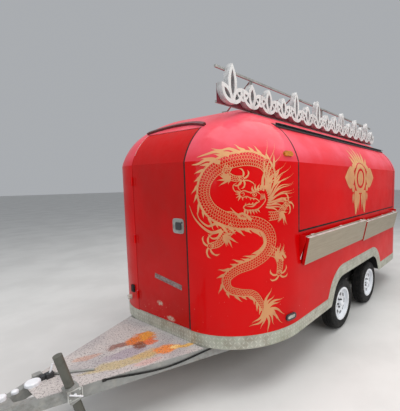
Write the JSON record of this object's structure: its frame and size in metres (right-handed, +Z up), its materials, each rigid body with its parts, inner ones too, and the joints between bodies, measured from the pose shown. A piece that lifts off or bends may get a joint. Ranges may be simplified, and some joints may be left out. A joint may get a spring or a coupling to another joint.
{
  "type": "food trailer",
  "caption": "Round-cornered street food trailer with tandem wheels, A-frame drawbar, front door, lift-up serving hatch, fold-down shelves and a roof sign frame.",
  "frame": {"origin": "middle of the trailer's footprint, on the ground", "axes": "+X forwards to the tow vehicle, +Y to the serving hatch side, +Z up"},
  "size_m": [5.8124, 2.1668, 2.7218],
  "materials": {
    "red_body": "glossy red paint, aged",
    "checker_plate": "bright embossed plate, dull with dirt",
    "stainless": "brushed",
    "galvanised": "grey zinc",
    "deck_steel": "worn speckled plate with stains",
    "dark_steel": "dark grey",
    "white_steel": "white",
    "tyre_rubber": "matte",
    "black_trim": "black",
    "floor_board": "sealed board",
    "amber_lens": "amber",
    "clear_lens": "pale lens",
    "red_lens": "red lens",
    "blank_plate": "blank",
    "sign_white": "white",
    "sign_maroon": "maroon"
  },
  "bodies": {
    "trailer": {"chassis_rail_left": "galvanised", "chassis_rail_right": "galvanised", "cross_members": "galvanised", "drawbar_rail_left": "galvanised", "drawbar_rail_right": "galvanised", "deck_plate": "deck_steel", "nose_box": "galvanised", "coupler": "galvanised", "coupler_lever": "dark_steel", "jack_clamp": "galvanised", "jack_tube": "dark_steel", "axle_front": "galvanised", "axle_rear": "galvanised", "floor_panel": "floor_board", "front_cap": "red_body", "rear_cap": "red_body", "left_wall": "red_body", "right_wall": "red_body", "roof_panel": "red_body", "skirt_band": "checker_plate", "wheel_box_left": "dark_steel", "wheel_box_right": "dark_steel", "door_hinges": "red_body", "door_rail": "dark_steel", "hatch_rail": "dark_steel", "shelf_brackets": "white_steel", "shelf_rods": "stainless", "steady_mounts": "galvanised", "sign_frame": "galvanised", "sign_backing": "sign_maroon", "sign_scrolls": "sign_white", "marker_lamps": "amber_lens", "low_lamps": "clear_lens", "front_lamp": "clear_lens", "supply_socket": "black_trim", "tail_lamps": "red_lens", "number_plate": "blank_plate"},
    "door": {"door": "red_body", "door_latch": "stainless"},
    "hatch": {"hatch": "red_body"},
    "shelf_front": {"shelf_front": "stainless"},
    "shelf_rear": {"shelf_rear": "stainless"},
    "jack_leg": {"jack_leg": "dark_steel"},
    "steady_left": {"steady_left": "galvanised"},
    "steady_right": {"steady_right": "galvanised"},
    "wheel_front_left": {"rim_front_left": "white_steel", "tyre_front_left": "tyre_rubber"},
    "wheel_front_right": {"rim_front_right": "white_steel", "tyre_front_right": "tyre_rubber"},
    "wheel_rear_left": {"rim_rear_left": "white_steel", "tyre_rear_left": "tyre_rubber"},
    "wheel_rear_right": {"rim_rear_right": "white_steel", "tyre_rear_right": "tyre_rubber"}
  },
  "joints": [
    {"name": "door_hinge", "type": "hinge", "parent": "trailer", "child": "door", "pos_m": [1.44875, -0.40714, 1.208], "axis": [0, 0, -1], "range_deg": [0, 105]},
    {"name": "hatch_hinge", "type": "hinge", "parent": "trailer", "child": "hatch", "pos_m": [-0.72525, 0.79487, 2.21248], "axis": [1, 0, 0], "range_deg": [0, 78]},
    {"name": "shelf_front_hinge", "type": "hinge", "parent": "trailer", "child": "shelf_front", "pos_m": [0.01725, 1.04336, 1.256], "axis": [1, 0, 0], "range_deg": [0, 102]},
    {"name": "shelf_rear_hinge", "type": "hinge", "parent": "trailer", "child": "shelf_rear", "pos_m": [-1.46775, 1.04336, 1.231], "axis": [1, 0, 0], "range_deg": [0, 102]},
    {"name": "jack_slide", "type": "slide", "parent": "trailer", "child": "jack_leg", "axis": [0.2317, 0, 0.9728], "range_m": [0, 0.15]},
    {"name": "steady_left_hinge", "type": "hinge", "parent": "trailer", "child": "steady_left", "pos_m": [-2.62025, 0.68836, 0.299], "axis": [0, 1, 0], "range_deg": [0, 78]},
    {"name": "steady_right_hinge", "type": "hinge", "parent": "trailer", "child": "steady_right", "pos_m": [-2.62025, -0.76164, 0.299], "axis": [0, 1, 0], "range_deg": [0, 78]},
    {"name": "wheel_front_left_spin", "type": "hinge", "parent": "trailer", "child": "wheel_front_left", "pos_m": [-0.29025, 0.87336, 0.2925], "axis": [0, 1, 0], "continuous": true},
    {"name": "wheel_front_right_spin", "type": "hinge", "parent": "trailer", "child": "wheel_front_right", "pos_m": [-0.29025, -0.94664, 0.2925], "axis": [0, 1, 0], "continuous": true},
    {"name": "wheel_rear_left_spin", "type": "hinge", "parent": "trailer", "child": "wheel_rear_left", "pos_m": [-1.21625, 0.87336, 0.2925], "axis": [0, 1, 0], "continuous": true},
    {"name": "wheel_rear_right_spin", "type": "hinge", "parent": "trailer", "child": "wheel_rear_right", "pos_m": [-1.21625, -0.94664, 0.2925], "axis": [0, 1, 0], "continuous": true}
  ]
}
